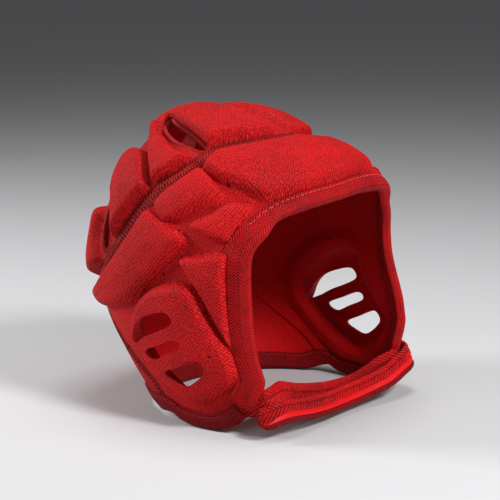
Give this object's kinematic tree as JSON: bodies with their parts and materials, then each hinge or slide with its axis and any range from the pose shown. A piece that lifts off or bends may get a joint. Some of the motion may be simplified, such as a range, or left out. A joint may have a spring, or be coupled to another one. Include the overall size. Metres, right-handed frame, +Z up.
{
  "type": "soft shell helmet",
  "caption": "Padded soft shell helmet in knitted cloth with taped edges, slotted ear guards, air gaps beside the crown and behind, and a wrapped chin strap.",
  "frame": {"origin": "centre of the bounding box's bottom, on the surface that the hem rests on", "axes": "+Z up, -Y the way the face looks, +X towards the wearer's left"},
  "size_m": [0.1884, 0.1869, 0.1909],
  "materials": {
    "knit": "dimpled red knit over foam",
    "tape": "ribbed red edge tape",
    "hem_band": "plain dark red turned band",
    "strap": "soft red knit strap",
    "satin": "satin faced red strap with herringbone edges",
    "webbing": "ribbed red webbing"
  },
  "bodies": {
    "root": {"front_shell": "knit", "crown_shell": "knit", "face_tape": "tape", "hem_tape": "hem_band", "chin_strap_inner": "strap", "chin_strap_outer": "satin", "crown_tab_right": "webbing", "crown_tab_left": "webbing", "rear_strap_right": "webbing", "rear_strap_left": "webbing"}
  },
  "joints": []
}
